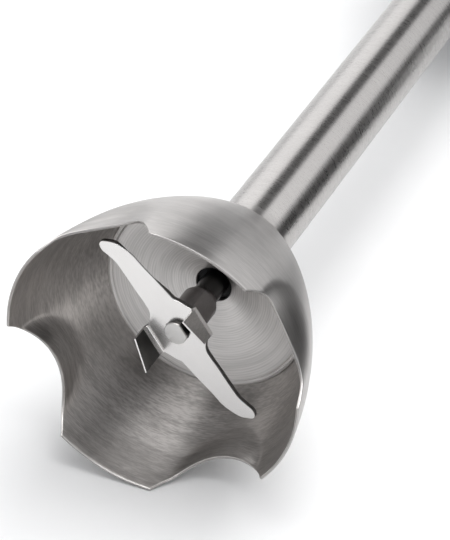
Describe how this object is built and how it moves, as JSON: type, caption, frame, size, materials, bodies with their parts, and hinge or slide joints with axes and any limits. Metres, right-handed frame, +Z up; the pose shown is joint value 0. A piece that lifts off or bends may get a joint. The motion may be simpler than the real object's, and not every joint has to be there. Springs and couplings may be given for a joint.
{
  "type": "immersion blender",
  "caption": "Handheld immersion blender lying on its side: steel bell with notched rim and S-shaped blade, steel arm tube, moulded motor handle with buttons and speed dial.",
  "frame": {"origin": "on the resting surface, midway along the tool and under its axis", "axes": "+Y along the tool from the bell's open rim to the end cap, +Z up with the buttons facing up, +X to the right when looking along +Y"},
  "size_m": [0.07, 0.415, 0.07],
  "materials": {
    "bell_steel": "satin circular brushed",
    "tube_steel": "satin circular brushed",
    "disc_steel": "turned concentric rings",
    "blade_steel": "satin ground",
    "shaft_steel": "ground",
    "hub_dark": "satin charcoal",
    "seal_rubber": "matte",
    "bush_bronze": "sintered",
    "clear_moulding": "natural moulding",
    "collar_plastic": "fine texture",
    "housing_plastic": "fine texture",
    "panel_rubber": "soft touch",
    "button_plastic": "satin",
    "dial_plastic": "satin",
    "trim_chrome": "polished",
    "lamination": "rolled sheet edges",
    "copper": "enamelled wire",
    "bracket_plastic": "glass filled",
    "carbon": "sintered carbon",
    "brass": "pressed",
    "screw_steel": "zinc plated",
    "spring_steel": "drawn wire",
    "board_green": "solder mask",
    "component_plastic": "moulded",
    "capacitor_yellow": "epoxy"
  },
  "bodies": {
    "motor_body": {"trim_ring": "trim_chrome", "nose_socket": "housing_plastic", "stator_core": "lamination", "field_coils": "copper", "front_bracket": "bracket_plastic", "rear_bracket": "bracket_plastic", "front_bearing": "shaft_steel", "rear_bearing": "shaft_steel", "front_damper": "seal_rubber", "rear_damper": "seal_rubber", "motor_screws": "screw_steel", "brush_holders": "brass", "carbon_brushes": "carbon", "brush_springs": "spring_steel", "housing_left": "housing_plastic", "housing_right": "housing_plastic", "button_panel": "panel_rubber", "housing_screws": "screw_steel", "end_cap": "housing_plastic", "cord_bush": "seal_rubber", "speed_control": "component_plastic", "circuit_board": "board_green", "suppression_capacitor": "capacitor_yellow", "speed_triac": "component_plastic", "filter_choke": "copper", "power_switch": "component_plastic", "turbo_switch": "component_plastic", "power_springs": "spring_steel", "turbo_springs": "spring_steel"},
    "rotor": {"motor_shaft": "shaft_steel", "armature_core": "lamination", "armature_windings": "copper", "commutator": "copper", "cooling_fan": "component_plastic", "drive_coupling": "component_plastic"},
    "arm": {"bell": "bell_steel", "cover_disc": "disc_steel", "arm_tube": "tube_steel", "bearing_carrier": "clear_moulding", "shaft_seal": "seal_rubber", "lower_bush": "bush_bronze", "shaft_guide": "clear_moulding", "upper_carrier": "clear_moulding", "upper_bush": "bush_bronze", "arm_collar": "collar_plastic", "collar_seal": "seal_rubber"},
    "cutter": {"drive_shaft": "shaft_steel", "thrust_washer": "shaft_steel", "retaining_clip": "spring_steel", "blade": "blade_steel", "blade_hub": "hub_dark", "driven_coupling": "clear_moulding"},
    "power_key": {"power_button": "button_plastic", "power_plunger": "clear_moulding"},
    "turbo_key": {"turbo_button": "button_plastic", "turbo_plunger": "clear_moulding"},
    "dial": {"speed_dial": "dial_plastic", "dial_stem": "shaft_steel"}
  },
  "joints": [
    {"name": "motor_spin", "type": "hinge", "parent": "motor_body", "child": "rotor", "pos_m": [0, 0.0925, 0.035], "axis": [0, 1, 0], "continuous": true},
    {"name": "arm_twist", "type": "hinge", "parent": "motor_body", "child": "arm", "pos_m": [0, 0.0325, 0.035], "axis": [0, 1, 0], "range_deg": [0, 30]},
    {"name": "blade_spin", "type": "hinge", "parent": "arm", "child": "cutter", "pos_m": [0, -0.0875, 0.035], "axis": [0, 1, 0], "continuous": true},
    {"name": "power_press", "type": "slide", "parent": "motor_body", "child": "power_key", "axis": [0, 0, -1], "range_m": [0, 0.0025], "stiffness_N_per_m": 600, "springref_m": -0.002, "deforming": ["power_springs"]},
    {"name": "turbo_press", "type": "slide", "parent": "motor_body", "child": "turbo_key", "axis": [0, 0, -1], "range_m": [0, 0.0025], "stiffness_N_per_m": 600, "springref_m": -0.002, "deforming": ["turbo_springs"]},
    {"name": "dial_turn", "type": "hinge", "parent": "motor_body", "child": "dial", "pos_m": [0, 0.2025, 0.044], "axis": [0, 1, 0], "range_deg": [0, 270]}
  ],
  "couplings": [
    {"joint": "blade_spin", "follows": "motor_spin", "ratio": 1}
  ]
}
